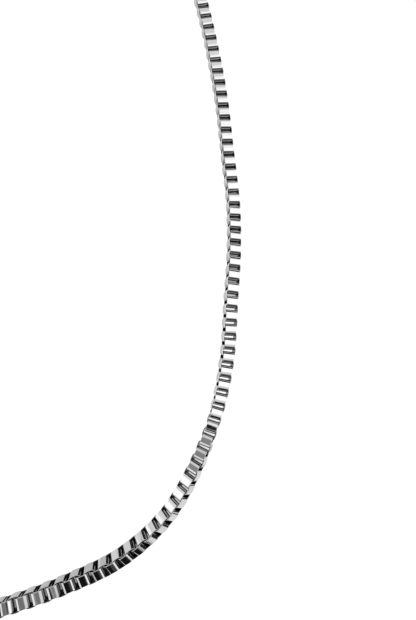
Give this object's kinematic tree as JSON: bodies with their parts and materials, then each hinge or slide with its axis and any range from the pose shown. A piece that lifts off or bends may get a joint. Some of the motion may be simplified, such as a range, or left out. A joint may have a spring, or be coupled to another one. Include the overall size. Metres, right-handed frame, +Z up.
{
  "type": "box chain necklace",
  "caption": "Closed box chain necklace of hooked square strip links with a plain round clasp at the nape.",
  "frame": {"origin": "on the nape side of the clasp's axis, where the necklace rests against the back of the neck", "axes": "+Z up, the front of the neck and the front of the chain face -Y, the clasp lies along X"},
  "size_m": [0.153, 0.1233, 0.1521],
  "materials": {
    "chain_front": "polished",
    "chain_back": "polished",
    "clasp": "polished"
  },
  "bodies": {
    "root": {"chain_front": "chain_front", "chain_back": "chain_back", "clasp": "clasp"}
  },
  "joints": []
}
